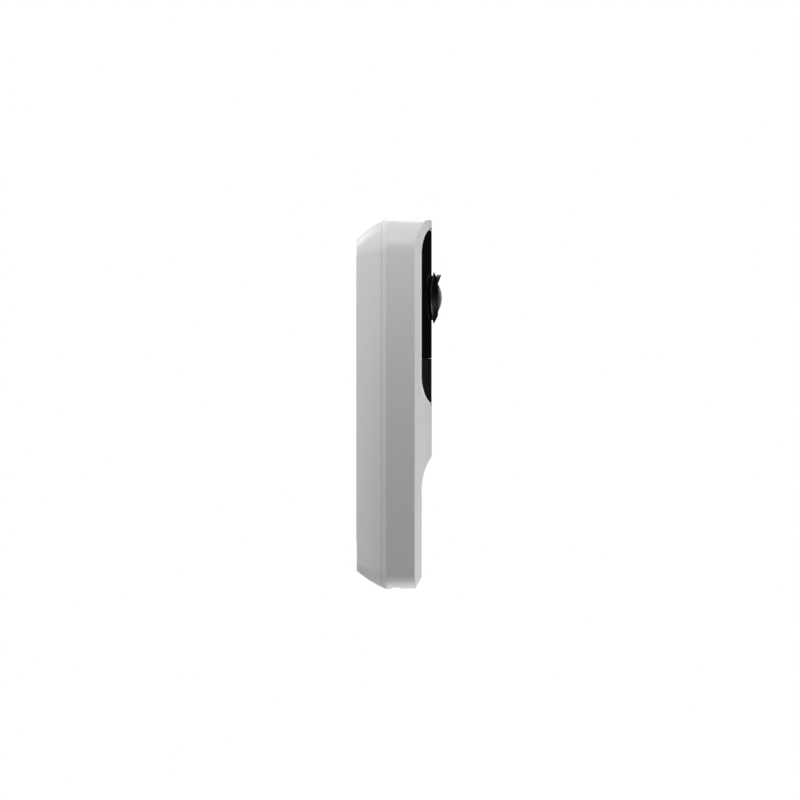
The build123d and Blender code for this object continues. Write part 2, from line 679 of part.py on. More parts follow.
with BuildPart() as rf_shield:
    with BuildSketch(depth(17.4)):
        with Locations((4.0, -19.5)):
            RectangleRounded(14.0, 12.0, 0.8)
    extrude(amount=1.8)
    with BuildSketch(depth(17.3)):
        with Locations((4.0, -19.5)):
            RectangleRounded(13.6, 11.6, 0.6)
    extrude(amount=1.7, mode=Mode.SUBTRACT)
rf_shield.part.label = "rf_shield"
export_step(rf_shield.part, "parts/rf_shield.step")

with BuildPart() as wifi_antenna:
    with BuildSketch(Plane.YZ.offset(20.45)):
        with BuildLine():
            Polyline((-11.2, -20.0), (-15.0, -20.0), (-15.0, 12.0), (-13.8, 12.0), (-13.8, -18.8), (-12.4, -18.8),
                     (-12.4, 6.0), (-11.2, 6.0), close=True)
        make_face()
    extrude(amount=-0.3)
wifi_antenna.part.label = "wifi_antenna"
export_step(wifi_antenna.part, "parts/wifi_antenna.step")

with BuildPart() as board_screws:
    with BuildSketch(depth(17.45)):
        with Locations((-13.0, 56.0), (13.0, 56.0), (-13.0, -24.0), (13.0, -24.0)):
            Circle(1.4)
    extrude(amount=0.9)
    with BuildSketch(depth(15.1)):
        with Locations((-13.0, 56.0), (13.0, 56.0), (-13.0, -24.0), (13.0, -24.0)):
            Circle(0.7)
    extrude(amount=2.4)
board_screws.part.label = "board_screws"
export_step(board_screws.part, "parts/board_screws.step")

# ---------------------------------------------------------------- battery
with BuildPart() as battery_pack:
    with BuildSketch(depth(8.6)):
        with Locations((0, 10.5)):
            RectangleRounded(31.0, 62.0, 2.0)
    extrude(amount=6.2)
    fillet(battery_pack.edges().filter_by(Axis.Y, reverse=True).group_by(Axis.Y)[0], 0.8)
battery_pack.part.label = "battery_pack"
export_step(battery_pack.part, "parts/battery_pack.step")

with BuildPart() as battery_connector:
    with BuildSketch(depth(13.2)):
        with Locations((-11.0, 51.5)):
            Rectangle(6.0, 5.0)
    extrude(amount=3.2)
    chamfer(battery_connector.edges().filter_by(Axis.Z).group_by(Axis.Y)[-1], 0.4)
battery_connector.part.label = "battery_connector"
export_step(battery_connector.part, "parts/battery_connector.step")

with BuildPart() as battery_lead:
    for x in (-12.2, -9.8):
        with BuildLine() as lead_line:
            FilletPolyline((x, -11.5, 41.5), (x, -11.5, 44.4), (x, -14.4, 46.6), (x, -14.4, 49.0), radius=0.9)
        with BuildSketch(Plane(origin=(x, -11.5, 41.5), z_dir=(0, 0, 1))):
            Circle(0.5)
        sweep(path=lead_line.line)
battery_lead.part.label = "battery_lead"
export_step(battery_lead.part, "parts/battery_lead.step")

# ---------------------------------------------------------------- button
with BuildPart() as button_cap:
    with BuildSketch(depth(22.8)):
        with Locations((0, BUTTON_Z)):
            Circle(11.5)
    extrude(amount=1.0)
    with BuildSketch(depth(23.7)):
        with Locations((0, BUTTON_Z)):
            Circle(BUTTON_R)
    extrude(amount=BUTTON_FACE - 23.7)
    fillet(button_cap.faces().sort_by(Axis.Y)[0].edges(), 0.4)
    # shallow dish in the face
    with Locations((0, -BUTTON_FACE - 118.0, BUTTON_Z)):
        Sphere(118.3, mode=Mode.SUBTRACT)
    # stem
    with BuildSketch(depth(21.5)):
        with Locations((0, BUTTON_Z)):
            Circle(2.0)
    extrude(amount=1.6)
button_cap.part.label = "button_cap"
export_step(button_cap.part, "parts/button_cap.step")

with BuildPart() as light_ring:
    with BuildSketch(depth(24.15)):
        with Locations((0, BUTTON_Z)):
            Circle(RING_R_OUT)
            Circle(RING_R_IN, mode=Mode.SUBTRACT)
    extrude(amount=RECESS_DEPTH - 24.15)
    fillet(light_ring.faces().sort_by(Axis.Y)[0].edges(), 0.25)
light_ring.part.label = "light_ring"
export_step(light_ring.part, "parts/light_ring.step")

with BuildPart() as button_seal:
    with BuildSketch(depth(20.6)):
        with Locations((0, BUTTON_Z)):
            Circle(14.2)
    extrude(amount=3.4)
    with BuildSketch(depth(21.2)):
        with Locations((0, BUTTON_Z)):
            Circle(12.4)
    extrude(amount=4.0, mode=Mode.SUBTRACT)
    with BuildSketch(depth(20.0)):
        with Locations((0, BUTTON_Z)):
            Circle(2.6)
    extrude(amount=4.0, mode=Mode.SUBTRACT)
button_seal.part.label = "button_seal"
export_step(button_seal.part, "parts/button_seal.step")

with BuildPart() as button_board:
    with BuildSketch(depth(16.4)):
        with Locations((0, BUTTON_Z)):
            Circle(12.6)
    extrude(amount=1.0)
button_board.part.label = "button_board"
export_step(button_board.part, "parts/button_board.step")

with BuildPart() as tact_switch:
    with BuildSketch(depth(17.4)):
        with Locations((0, BUTTON_Z)):
            RectangleRounded(6.0, 6.0, 0.5)
    extrude(amount=2.8)
    with BuildSketch(depth(18.2)):
        with Locations((0, BUTTON_Z)):
            Circle(1.66)
    extrude(amount=3.0, mode=Mode.SUBTRACT)
tact_switch.part.label = "tact_switch"
export_step(tact_switch.part, "parts/tact_switch.step")

with BuildPart() as switch_plunger:
    with BuildSketch(depth(19.0)):
        with Locations((0, BUTTON_Z)):
            Circle(1.6)
    extrude(amount=2.4)
    fillet(switch_plunger.faces().sort_by(Axis.Y)[0].edges(), 0.25)
switch_plunger.part.label = "switch_plunger"
export_step(switch_plunger.part, "parts/switch_plunger.step")

with BuildPart() as status_leds:
    with BuildSketch(depth(17.4)):
        with Locations((0, BUTTON_Z)):
            with PolarLocations(10.6, 6):
                Rectangle(1.6, 1.6)
    extrude(amount=0.7)
status_leds.part.label = "status_leds"
export_step(status_leds.part, "parts/status_leds.step")

# ---------------------------------------------------------------- microphone and speaker
with BuildPart() as mic_membrane:
    with BuildSketch(depth(23.8)):
        with Locations((0, -28.5)):
            Circle(2.0)
    extrude(amount=0.2)
mic_membrane.part.label = "mic_membrane"
export_step(mic_membrane.part, "parts/mic_membrane.step")

with BuildPart() as microphone:
    with BuildSketch(depth(22.6)):
        with Locations((0, -28.5)):
            Rectangle(3.8, 3.0)
    extrude(amount=1.2)
    fillet(microphone.edges().filter_by(Axis.Y), 0.3)
microphone.part.label = "microphone"
export_step(microphone.part, "parts/microphone.step")

with BuildPart() as speaker_mesh:
    with BuildSketch(level(-71.5)):
        with Locations((0, -15.85)):
            Rectangle(28.0, 5.0)
    extrude(amount=0.25)
speaker_mesh.part.label = "speaker_mesh"
export_step(speaker_mesh.part, "parts/speaker_mesh.step")

with BuildPart() as speaker_gasket:
    with BuildSketch(level(-71.25)):
        with Locations((0, -15.85)):
            RectangleRounded(33.0, 11.0, 2.0)
            RectangleRounded(28.0, 7.0, 1.5, mode=Mode.SUBTRACT)
    extrude(amount=0.7)
speaker_gasket.part.label = "speaker_gasket"
export_step(speaker_gasket.part, "parts/speaker_gasket.step")

with BuildPart() as speaker_driver:
    with BuildSketch(level(-70.5)):
        with Locations((0, -15.85)):
            RectangleRounded(33.0, 11.0, 2.0)
    extrude(amount=2.6)
    with BuildSketch(level(-67.9)):
        with Locations((0, -15.85)):
            RectangleRounded(16.0, 8.0, 1.0)
    extrude(amount=2.0)
    with BuildSketch(level(-70.5)):
        with Locations((0, -15.85)):
            RectangleRounded(27.0, 7.0, 2.0)
    extrude(amount=0.8, mode=Mode.SUBTRACT)
speaker_driver.part.label = "speaker_driver"
export_step(speaker_driver.part, "parts/speaker_driver.step")

# ---------------------------------------------------------------- port and terminals in the back
with BuildPart() as usb_plug:
    with BuildSketch(depth(5.4)):
        with Locations((0, 20.0)):
            SlotOverall(13.4, 7.6)
    extrude(amount=0.8)
    with BuildSketch(depth(6.2)):
        with Locations((0, 20.0)):
            SlotOverall(10.9, 5.1)
    extrude(amount=0.7)
    fillet(usb_plug.faces().sort_by(Axis.Y)[-1].edges(), 0.3)
usb_plug.part.label = "usb_plug"
export_step(usb_plug.part, "parts/usb_plug.step")

with BuildPart() as usb_port:
    with BuildSketch(depth(6.95)):
        with Locations((0, 20.0)):
            SlotOverall(9.0, 3.2)
            SlotOverall(8.4, 2.6, mode=Mode.SUBTRACT)
    extrude(amount=1.6)
    with BuildSketch(depth(6.95)):
        with Locations((0, 20.0)):
            Rectangle(6.4, 0.7)
    extrude(amount=1.6)
    with BuildSketch(depth(8.05)):
        with Locations((0, 20.0)):
            SlotOverall(9.0, 3.2)
    extrude(amount=0.5)
usb_port.part.label = "usb_port"
export_step(usb_port.part, "parts/usb_port.step")

with BuildPart() as terminal_block:
    with BuildSketch(depth(6.5)):
        with Locations((-4.5, -18.0), (4.5, -18.0)):
            Rectangle(6.4, 8.4)
    extrude(amount=1.5)
    with BuildSketch(depth(8.05)):
        with Locations((0, -18.0)):
            Rectangle(16.0, 7.6)
    extrude(amount=0.45)
    with BuildSketch(depth(7.9)):
        with Locations((-4.5, -18.0), (4.5, -18.0)):
            Rectangle(6.4, 7.6)
    extrude(amount=0.3)
    with BuildSketch(depth(6.0)):
        with Locations((-4.5, -18.0), (4.5, -18.0)):
            Circle(1.5)
    extrude(amount=2.0, mode=Mode.SUBTRACT)
terminal_block.part.label = "terminal_block"
export_step(terminal_block.part, "parts/terminal_block.step")

with BuildPart() as terminal_screws:
    with BuildSketch(depth(4.8)):
        with Locations((-4.5, -18.0), (4.5, -18.0)):
            Circle(2.9)
    extrude(amount=1.6)
    with BuildSketch(depth(6.4)):
        with Locations((-4.5, -18.0), (4.5, -18.0)):
            Circle(1.45)
    extrude(amount=1.5)
    with BuildSketch(depth(4.0)):
        with Locations((-4.5, -18.0), (4.5, -18.0)):
            Rectangle(6.0, 0.8)
    extrude(amount=1.5, mode=Mode.SUBTRACT)
terminal_screws.part.label = "terminal_screws"
export_step(terminal_screws.part, "parts/terminal_screws.step")

# ---------------------------------------------------------------- case screws and inserts
with BuildPart() as housing_screws:
    with BuildSketch(depth(4.8)):
        with Locations(*CASE_SCREWS):
            Circle(1.9)
    extrude(amount=1.4)
    with BuildSketch(depth(6.2)):
        with Locations(*CASE_SCREWS):
            Circle(1.0)
    extrude(amount=8.0)
    with BuildSketch(depth(4.8)):
        for spot in CASE_SCREWS:
            with Locations(spot):
                Rectangle(2.2, 0.5)
                Rectangle(0.5, 2.2)
    extrude(amount=0.8, mode=Mode.SUBTRACT)
housing_screws.part.label = "housing_screws"
export_step(housing_screws.part, "parts/housing_screws.step")

with BuildPart() as threaded_inserts:
    with BuildSketch(depth(FLOOR_FRONT + 0.1)):
        with Locations(*CASE_SCREWS):
            Circle(1.58)
    extrude(amount=4.0)
    with BuildSketch(depth(FLOOR_FRONT)):
        with Locations(*CASE_SCREWS):
            Circle(1.02)
    extrude(amount=5.0, mode=Mode.SUBTRACT)
threaded_inserts.part.label = "threaded_inserts"
export_step(threaded_inserts.part, "parts/threaded_inserts.step")
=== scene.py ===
import json
import math
import random

import bmesh
import bpy
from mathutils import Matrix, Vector


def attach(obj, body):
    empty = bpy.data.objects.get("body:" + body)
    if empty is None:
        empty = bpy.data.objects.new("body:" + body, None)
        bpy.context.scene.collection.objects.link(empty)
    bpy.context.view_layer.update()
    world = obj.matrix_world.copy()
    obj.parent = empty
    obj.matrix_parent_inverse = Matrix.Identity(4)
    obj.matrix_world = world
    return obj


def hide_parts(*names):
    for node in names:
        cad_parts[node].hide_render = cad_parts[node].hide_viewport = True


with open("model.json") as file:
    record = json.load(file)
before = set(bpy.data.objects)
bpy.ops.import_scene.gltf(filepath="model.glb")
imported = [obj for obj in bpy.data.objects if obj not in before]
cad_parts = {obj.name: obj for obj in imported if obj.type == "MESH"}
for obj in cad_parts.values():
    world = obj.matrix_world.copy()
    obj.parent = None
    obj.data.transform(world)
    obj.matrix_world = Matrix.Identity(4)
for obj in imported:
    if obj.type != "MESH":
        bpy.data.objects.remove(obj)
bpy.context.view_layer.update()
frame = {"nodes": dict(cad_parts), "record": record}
nodes = frame["nodes"]
random.seed(7)

MM = 0.001
TAU = 2 * math.pi

# ------------------------------------------------------------------ sizes shared with the CAD, in mm
FRONT_R, FRONT_DEPTH = 42.5, 30.53
AXIS = FRONT_R - FRONT_DEPTH
LENS_Z = 43.0
BUTTON_Z = -48.0


def surface_depth(x, r=FRONT_R):
    """Depth of the convex front at sideways distance x."""
    return math.sqrt(max(r * r - x * x, 0.0)) - AXIS


# ------------------------------------------------------------------ camera
cam_data = bpy.data.cameras.new("camera")
cam = bpy.data.objects.new("camera", cam_data)
bpy.context.scene.collection.objects.link(cam)
CAM_DIST = 6.0
SPAN = 800 * 0.406 * MM
cam_data.sensor_width = 36.0
cam_data.lens = 36.0 * CAM_DIST / SPAN
cam_data.clip_start, cam_data.clip_end = 0.05, 60.0
cam.location = (-CAM_DIST, -(400 - 356.5) * 0.406 * MM, (588.5 - 400) * 0.406 * MM - 0.075)
cam.rotation_euler = (math.pi / 2, 0.0, -math.pi / 2)
bpy.context.scene.camera = cam
bpy.context.scene.view_settings.view_transform = "Standard"


# ------------------------------------------------------------------ mesh helpers
def new_object(name, verts, faces, smooth=True):
    mesh = bpy.data.meshes.new(name)
    mesh.from_pydata([tuple(v) for v in verts], [], faces)
    mesh.validate()
    mesh.update()
    bm = bmesh.new()
    bm.from_mesh(mesh)
    bmesh.ops.recalc_face_normals(bm, faces=bm.faces)
    bm.to_mesh(mesh)
    bm.free()
    for p in mesh.polygons:
        p.use_smooth = smooth
    obj = bpy.data.objects.new(name, mesh)
    bpy.context.scene.collection.objects.link(obj)
    return obj


def grid_faces(rows, cols, offset=0, wrap_rows=False, wrap_cols=True):
    faces = []
    for i in range(rows if wrap_rows else rows - 1):
        for j in range(cols if wrap_cols else cols - 1):
            a = offset + i * cols + j
            b = offset + i * cols + (j + 1) % cols
            c = offset + ((i + 1) % rows) * cols + (j + 1) % cols
            d = offset + ((i + 1) % rows) * cols + j
            faces.append((a, b, c, d))
    return faces


def lathe_front(name, profile, centre_z, segments=160, closed=True, close_front=False, close_back=False):
    """Solid of revolution about the Y direction through (0, centre_z). profile is [(radius, depth)] in mm;
    depth may be a function of the sideways distance, for edges that follow the convex front."""
    verts, faces = [], []
    n = len(profile)
    for r, d in profile:
        for j in range(segments):
            a = TAU * j / segments
            x, z = r * math.cos(a), r * math.sin(a)
            y = d(x) if callable(d) else d
            verts.append((x * MM, -y * MM, (centre_z + z) * MM))
    faces += grid_faces(n, segments, wrap_rows=closed)
    if not closed:
        if close_front:
            verts.append((0, -profile[0][1] * MM, centre_z * MM))
            k = len(verts) - 1
            faces += [(k, (j + 1) % segments, j) for j in range(segments)]
        if close_back:
            verts.append((0, -profile[-1][1] * MM, centre_z * MM))
            k = len(verts) - 1
            o = (n - 1) * segments
            faces += [(k, o + j, o + (j + 1) % segments) for j in range(segments)]
    return new_object(name, verts, faces)


def shade_auto(obj, angle=32):
    """Smooth shading with sharp edges kept where the surface turns more than angle."""
    me = obj.data
    bm = bmesh.new()
    bm.from_mesh(me)
    limit = math.radians(angle)
    for f in bm.faces:
        f.smooth = True
    for e in bm.edges:
        e.smooth = not (len(e.link_faces) == 2 and e.calc_face_angle(0.0) > limit)
    bm.to_mesh(me)
    bm.free()


def weld(obj, dist):
    """Merge coincident points, and drop any edge or point left without a face."""
    bm = bmesh.new()
    bm.from_mesh(obj.data)
    bmesh.ops.remove_doubles(bm, verts=bm.verts, dist=dist)
    bmesh.ops.delete(bm, geom=[e for e in bm.edges if not e.link_faces], context="EDGES")
    bmesh.ops.delete(bm, geom=[v for v in bm.verts if not v.link_faces], context="VERTS")
    bmesh.ops.recalc_face_normals(bm, faces=bm.faces)
    bm.to_mesh(obj.data)
    bm.free()

# ------------------------------------------------------------------ materials
def principled(name):
    m = bpy.data.materials.new(name)
    m.use_nodes = True
    nt = m.node_tree
    bsdf = next(n for n in nt.nodes if n.type == "BSDF_PRINCIPLED")
    return m, nt, bsdf


def mottled(nt, bsdf, colour, spread, scale, rough, rough_spread, rough_scale, coord="Object", detail=3.0):
    """Base colour and roughness that vary a little over the surface."""
    tc = nt.nodes.new("ShaderNodeTexCoord")
    n1 = nt.nodes.new("ShaderNodeTexNoise")
    n1.inputs["Scale"].default_value = scale
    n1.inputs["Detail"].default_value = detail
    nt.links.new(tc.outputs[coord], n1.inputs["Vector"])
    ramp = nt.nodes.new("ShaderNodeValToRGB")
    lo = [max(c - spread, 0.0) for c in colour]
    hi = [min(c + spread, 1.0) for c in colour]
    ramp.color_ramp.elements[0].position = 0.3
    ramp.color_ramp.elements[0].color = (*lo, 1)
    ramp.color_ramp.elements[1].position = 0.7
    ramp.color_ramp.elements[1].color = (*hi, 1)
    nt.links.new(n1.outputs["Fac"], ramp.inputs["Fac"])
    nt.links.new(ramp.outputs["Color"], bsdf.inputs["Base Color"])
    n2 = nt.nodes.new("ShaderNodeTexNoise")
    n2.inputs["Scale"].default_value = rough_scale
    n2.inputs["Detail"].default_value = detail
    nt.links.new(tc.outputs[coord], n2.inputs["Vector"])
    mr = nt.nodes.new("ShaderNodeMapRange")
    mr.inputs["From Min"].default_value = 0.3
    mr.inputs["From Max"].default_value = 0.7
    mr.inputs["To Min"].default_value = max(rough - rough_spread, 0.0)
    mr.inputs["To Max"].default_value = rough + rough_spread
    nt.links.new(n2.outputs["Fac"], mr.inputs["Value"])
    nt.links.new(mr.outputs["Result"], bsdf.inputs["Roughness"])
    return tc


def add_bump(nt, bsdf, height_socket, strength, distance):
    b = nt.nodes.new("ShaderNodeBump")
    b.inputs["Strength"].default_value = strength
    b.inputs["Distance"].default_value = distance
    nt.links.new(height_socket, b.inputs["Height"])
    nt.links.new(b.outputs["Normal"], bsdf.inputs["Normal"])
    return b


def moulded(name, colour, rough=0.45, spread=0.008, grain=5200.0, strength=0.10, distance=0.00002, specular=0.5,
            subsurface=0.0, sheen=0.0, coat=0.0):
    """Injection-moulded plastic: fine spark texture, faint flow mottling."""
    m, nt, bsdf = principled(name)
    tc = mottled(nt, bsdf, colour, spread, 38.0, rough, 0.04, 260.0)
    g = nt.nodes.new("ShaderNodeTexNoise")
    g.inputs["Scale"].default_value = grain
    g.inputs["Detail"].default_value = 2.0
    nt.links.new(tc.outputs["Object"], g.inputs["Vector"])
    add_bump(nt, bsdf, g.outputs["Fac"], strength, distance)
    bsdf.inputs["Specular IOR Level"].default_value = specular
    if coat:
        bsdf.inputs["Coat Weight"].default_value = coat
        bsdf.inputs["Coat Roughness"].default_value = 0.12
    if subsurface:
        bsdf.inputs["Subsurface Weight"].default_value = subsurface
        bsdf.inputs["Subsurface Radius"].default_value = (0.0012, 0.0011, 0.001)
        bsdf.inputs["Subsurface Scale"].default_value = 0.4
    if sheen:
        bsdf.inputs["Sheen Weight"].default_value = sheen
    return m


def glossy_black(name, colour, rough, spread, ripple=0.03, coat=0.5, specular=0.5):
    """Polished or satin dark window with a very faint moulding ripple and fine dust in the roughness."""
    m, nt, bsdf = principled(name)
    tc = mottled(nt, bsdf, colour, colour[0] * 0.25, 30.0, rough, spread, 140.0)
    g = nt.nodes.new("ShaderNodeTexNoise")
    g.inputs["Scale"].default_value = 55.0
    g.inputs["Detail"].default_value = 1.0
    nt.links.new(tc.outputs["Object"], g.inputs["Vector"])
    if ripple:
        add_bump(nt, bsdf, g.outputs["Fac"], ripple, 0.00004)
    bsdf.inputs["Specular IOR Level"].default_value = specular
    bsdf.inputs["Coat Weight"].default_value = coat
    bsdf.inputs["Coat Roughness"].default_value = 0.03
    return m


def metal(name, colour, rough=0.28, scratch=900.0, anisotropy=0.3, strength=0.12, metallic=1.0):
    """Turned or stamped metal: fine directional scratches."""
    m, nt, bsdf = principled(name)
    bsdf.inputs["Metallic"].default_value = metallic
    tc = mottled(nt, bsdf, colour, 0.03, 120.0, rough, 0.07, 420.0)
    mp = nt.nodes.new("ShaderNodeMapping")
    mp.inputs["Scale"].default_value = (1.0, 1.0, 14.0)
    nt.links.new(tc.outputs["Object"], mp.inputs["Vector"])
    g = nt.nodes.new("ShaderNodeTexNoise")
    g.inputs["Scale"].default_value = scratch
    g.inputs["Detail"].default_value = 3.0
    nt.links.new(mp.outputs["Vector"], g.inputs["Vector"])
    add_bump(nt, bsdf, g.outputs["Fac"], strength, 0.00002)
    bsdf.inputs["Anisotropic"].default_value = anisotropy
    return m


def rubbery(name, colour, rough=0.75, grain=2600.0):
    m, nt, bsdf = principled(name)
    tc = mottled(nt, bsdf, colour, 0.01, 160.0, rough, 0.08, 600.0)
    g = nt.nodes.new("ShaderNodeTexVoronoi")
    g.inputs["Scale"].default_value = grain
    nt.links.new(tc.outputs["Object"], g.inputs["Vector"])
    add_bump(nt, bsdf, g.outputs["Distance"], 0.25, 0.00004)
    bsdf.inputs["Specular IOR Level"].default_value = 0.3
    return m


def clear_glass(name, tint, ior=1.49, rough=0.01, coat=0.0, sheen=0.0):
    m, nt, bsdf = principled(name)
    tc = mottled(nt, bsdf, tint, 0.01, 60.0, rough, 0.004, 700.0)
    bsdf.inputs["Transmission Weight"].default_value = 1.0
    bsdf.inputs["IOR"].default_value = ior
    if sheen:
        bsdf.inputs["Sheen Weight"].default_value = sheen
        bsdf.inputs["Sheen Roughness"].default_value = 0.35
        bsdf.inputs["Sheen Tint"].default_value = (1.0, 0.93, 0.96, 1)
    if coat:
        bsdf.inputs["Coat Weight"].default_value = coat
        bsdf.inputs["Coat Roughness"].default_value = 0.02
        bsdf.inputs["Coat Tint"].default_value = (0.75, 0.7, 1.0, 1)
    return m


def circuit_board(name, colour, copper=(0.06, 0.26, 0.12)):
    """Solder mask with traces showing through as a slightly raised, lighter pattern."""
    m, nt, bsdf = principled(name)
    tc = nt.nodes.new("ShaderNodeTexCoord")
    b = nt.nodes.new("ShaderNodeTexBrick")
    b.inputs["Scale"].default_value = 260.0
    b.inputs["Color1"].default_value = (*colour, 1)
    b.inputs["Color2"].default_value = (*[c * 1.12 for c in colour], 1)
    b.inputs["Mortar"].default_value = (*copper, 1)
    b.inputs["Mortar Size"].default_value = 0.03
    mp = nt.nodes.new("ShaderNodeMapping")
    mp.inputs["Rotation"].default_value = (math.pi / 2, 0, 0)
    nt.links.new(tc.outputs["Object"], mp.inputs["Vector"])
    nt.links.new(mp.outputs["Vector"], b.inputs["Vector"])
    nt.links.new(b.outputs["Color"], bsdf.inputs["Base Color"])
    n2 = nt.nodes.new("ShaderNodeTexNoise")
    n2.inputs["Scale"].default_value = 500.0
    nt.links.new(tc.outputs["Object"], n2.inputs["Vector"])
    mr = nt.nodes.new("ShaderNodeMapRange")
    mr.inputs["To Min"].default_value = 0.22
    mr.inputs["To Max"].default_value = 0.36
    nt.links.new(n2.outputs["Fac"], mr.inputs["Value"])
    nt.links.new(mr.outputs["Result"], bsdf.inputs["Roughness"])
    add_bump(nt, bsdf, b.outputs["Fac"], 0.4, 0.00003)
    return m


def woven(name, colour, pitch=0.00035):
    """Fine woven mesh: over-and-under threads from two wave patterns."""
    m, nt, bsdf = principled(name)
    tc = mottled(nt, bsdf, colour, 0.015, 300.0, 0.7, 0.08, 900.0)
    waves = []
    for axis in ("X", "Y"):
        w = nt.nodes.new("ShaderNodeTexWave")
        w.bands_direction = axis
        w.inputs["Scale"].default_value = 1.0 / pitch / 6.2832 * 6.0
        nt.links.new(tc.outputs["Object"], w.inputs["Vector"])
        waves.append(w)
    mx = nt.nodes.new("ShaderNodeMath")
    mx.operation = "MAXIMUM"
    nt.links.new(waves[0].outputs["Fac"], mx.inputs[0])
    nt.links.new(waves[1].outputs["Fac"], mx.inputs[1])
    add_bump(nt, bsdf, mx.outputs["Value"], 0.9, 0.00012)
    return m


WHITE = (0.803, 0.806, 0.808)
MATERIALS = {
    "white_shell": moulded("white_shell", WHITE, rough=0.40, spread=0.006, grain=4200.0, strength=0.16, distance=0.000018),
    "white_button": moulded("white_button", (0.82, 0.82, 0.825), rough=0.34, spread=0.003, grain=1600.0, strength=0.02),
    # trim_white_painted_highlight: base colour lighter than the white shell, a painted highlight along the black
    # window's edge
    "trim_white_painted_highlight": moulded("trim_white_painted_highlight", (0.95, 0.95, 0.95), rough=0.12, spread=0.004, grain=1500.0, strength=0.02, coat=0.5),
    "bracket_plastic": moulded("bracket_plastic", (0.70, 0.71, 0.715), rough=0.5, spread=0.012, grain=2600.0, strength=0.3,
                               distance=0.00003),
    "gloss_black": glossy_black("gloss_black", (0.003, 0.003, 0.0033), 0.11, 0.015, ripple=0.012, coat=0.0),
    "satin_black": glossy_black("satin_black", (0.009, 0.009, 0.010), 0.30, 0.015, ripple=0.0, coat=0.0, specular=0.4),
    # bezel_neck_painted_shade: a darker, duller copy of bezel_black on the neck between the rim and the front ring,
    # painted shade in that gap
    "bezel_neck_painted_shade": moulded("bezel_neck_painted_shade", (0.0015, 0.0015, 0.0015), rough=0.7, spread=0.0004, grain=2600.0, strength=0.1,
                          specular=0.1),
    # bezel_edge_painted_highlight: a lighter, glossier copy of bezel_black on the rim's outer edge, a painted highlight
    "bezel_edge_painted_highlight": glossy_black("bezel_edge_painted_highlight", (0.018, 0.018, 0.019), 0.30, 0.02, ripple=0.0, coat=0.0, specular=0.36),
    "bezel_black": glossy_black("bezel_black", (0.003, 0.003, 0.0033), 0.42, 0.03, ripple=0.0, coat=0.0, specular=0.08),
    "clear_dome": clear_glass("clear_dome", (0.97, 0.97, 0.97), coat=0.2, sheen=1.0),
    "coated_glass": clear_glass("coated_glass", (0.55, 0.45, 0.70), ior=1.62, coat=1.0),
    "black_metal": metal("black_metal", (0.035, 0.035, 0.036), rough=0.42, metallic=0.6),
    "black_plastic": moulded("black_plastic", (0.03, 0.03, 0.03), rough=0.5, spread=0.006, grain=2400.0, strength=0.3),
    "chip_black": moulded("chip_black", (0.02, 0.02, 0.022), rough=0.55, spread=0.004, grain=6000.0, strength=0.2),
    "board_green": circuit_board("board_green", (0.02, 0.13, 0.05)),
    "board_black": circuit_board("board_black", (0.012, 0.012, 0.013), copper=(0.03, 0.03, 0.032)),
    "flex_amber": moulded("flex_amber", (0.45, 0.20, 0.04), rough=0.25, spread=0.03, grain=900.0, strength=0.1, coat=0.4),
    "led_clear": moulded("led_clear", (0.80, 0.76, 0.58), rough=0.15, spread=0.02, grain=1500.0, strength=0.05, coat=0.6),
    "steel": metal("steel", (0.60, 0.60, 0.60)),
    "steel_dark": metal("steel_dark", (0.10, 0.10, 0.105), rough=0.35),
    "brass": metal("brass", (0.70, 0.50, 0.20), rough=0.25),
    "battery_wrap": moulded("battery_wrap", (0.06, 0.16, 0.36), rough=0.3, spread=0.01, grain=700.0, strength=0.2, coat=0.3),
    "connector_white": moulded("connector_white", (0.80, 0.77, 0.68), rough=0.45),
    "lead_red": rubbery("lead_red", (0.50, 0.03, 0.02), rough=0.5),
    "ring_diffuser": moulded("ring_diffuser", (0.78, 0.82, 0.86), rough=0.35, spread=0.01, grain=3600.0, strength=0.12,
                             subsurface=0.5),
    "silicone": rubbery("silicone", (0.70, 0.72, 0.73), rough=0.5),
    "seal_rubber": rubbery("seal_rubber", (0.035, 0.035, 0.036)),
    "foam": rubbery("foam", (0.05, 0.05, 0.052), rough=0.9, grain=1400.0),
    "membrane": woven("membrane", (0.05, 0.05, 0.052)),
}

slot_of = {s["node"]: s.get("material_slot", s["node"]) for s in frame["record"]["subparts"]}
for name, obj in nodes.items():
    obj.data.materials.clear()
    obj.data.materials.append(MATERIALS[slot_of[name]])


def finish_piece(obj, material, body, *replaced, slot=None):
    obj.data.materials.clear()
    obj.data.materials.append(MATERIALS[material])
    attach(obj, body)
    if replaced:
        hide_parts(*replaced)
    return obj


# ------------------------------------------------------------------ camera bezel and hood
def cone(r):
    """Depth rule for the sloping face between the front ring and the rim, at radius r."""
    t = (r - 7.3) / (10.25 - 7.3)
    return lambda x: (1 - t) * 33.04 + t * (surface_depth(x * 10.25 / max(r, 0.01) if r > 7.3 else x) + 1.10)


def over(v):
    return lambda x: surface_depth(x) + v


bezel_profile = [
    (6.10, 27.5), (6.10, 31.85), (5.62, 31.85), (5.62, 32.55), (5.66, 32.68), (5.78, 32.72), (6.02, 32.72), (6.10, 32.78),
    (6.12, 32.98), (6.16, 33.07), (6.28, 33.12), (6.95, 33.12), (7.16, 33.09), (7.30, 33.02),
    (7.55, cone(7.55)), (8.10, cone(8.10)), (8.70, cone(8.70)), (9.30, cone(9.30)), (9.80, cone(9.80)),
    (10.18, cone(10.18)), (10.34, over(1.02)), (10.41, over(0.92)), (10.40, over(0.80)), (10.30, over(0.70)),
    (10.05, over(0.64)), (9.60, over(0.58)), (9.20, over(0.50)), (9.06, over(0.40)), (9.02, over(0.20)), (9.02, over(-0.9)),
    (9.02, 27.5),
]
bezel = lathe_front("bezel_ring", bezel_profile, LENS_Z, segments=240)


